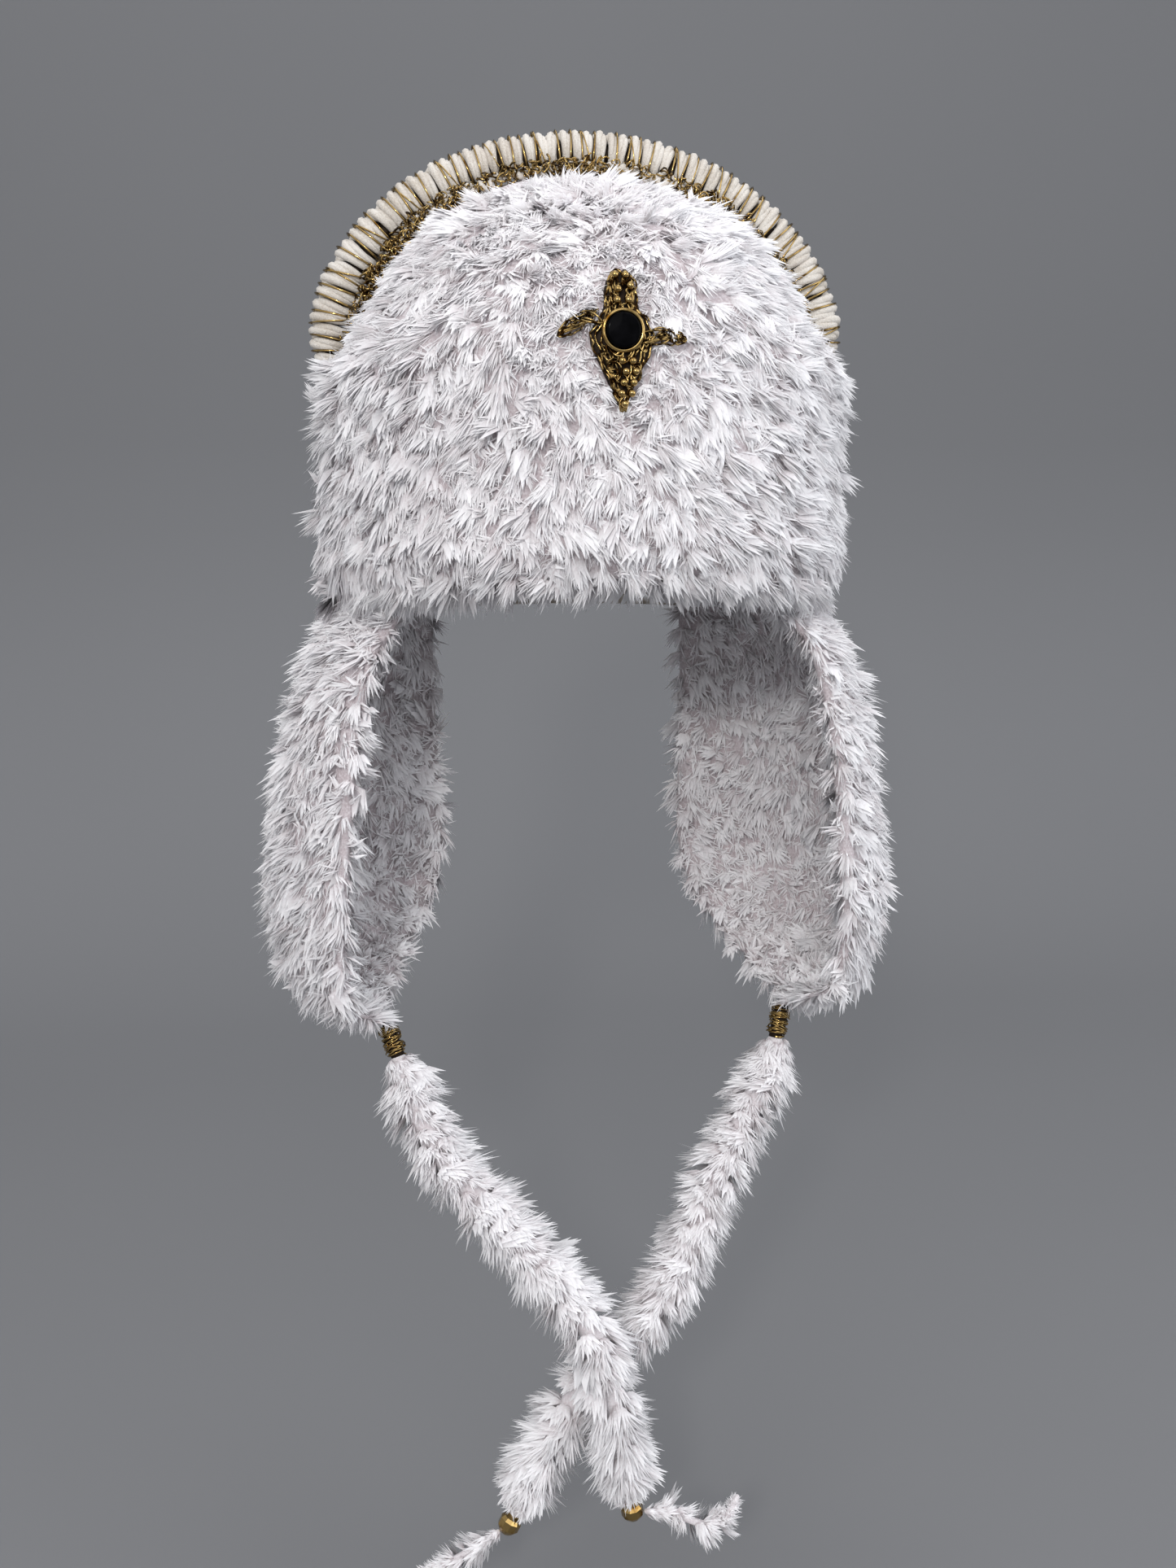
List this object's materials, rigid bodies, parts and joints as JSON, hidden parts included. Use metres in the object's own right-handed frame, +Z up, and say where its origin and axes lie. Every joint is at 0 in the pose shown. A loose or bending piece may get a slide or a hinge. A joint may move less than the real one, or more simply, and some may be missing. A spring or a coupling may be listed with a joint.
{
  "type": "earflap hat",
  "caption": "Fluffy white earflap hat with a turned-up fur front, a ribbed wool ridge edged in gold, a small gold and black brooch, long cupped ear flaps and crossed fur ties.",
  "frame": {"origin": "top of the head, at the inside top of the crown, where the hat sits on a head", "axes": "+Z up, -Y towards the front with the brooch, +X to the right as seen from the front"},
  "size_m": [0.2686, 0.2268, 0.5629],
  "materials": {
    "fur": "fluffy white yarn",
    "wool": "cream wool",
    "gold_thread": "twisted metal thread",
    "gold": "polished",
    "black_stone": "polished black"
  },
  "bodies": {
    "root": {"crown": "wool", "trim_ridge": "wool", "front_flap": "fur", "ear_flap_left": "fur", "ear_flap_right": "fur", "tie_left": "fur", "tie_right": "fur", "tail_left": "fur", "tail_right": "fur", "gold_edging": "gold_thread", "brooch_plate": "gold_thread", "brooch_leaf_left": "gold_thread", "brooch_leaf_right": "gold_thread", "gold_wrap_left": "gold_thread", "gold_wrap_right": "gold_thread", "brooch_bezel": "gold", "bead_01": "gold", "bead_02": "gold", "bead_03": "gold", "bead_04": "gold", "bead_05": "gold", "bead_06": "gold", "bead_07": "gold", "bead_08": "gold", "bead_09": "gold", "bead_10": "gold", "bead_11": "gold", "bead_12": "gold", "bead_13": "gold", "bead_14": "gold", "bead_15": "gold", "end_bead_left": "gold", "end_bead_right": "gold", "brooch_stone": "black_stone"}
  },
  "joints": []
}
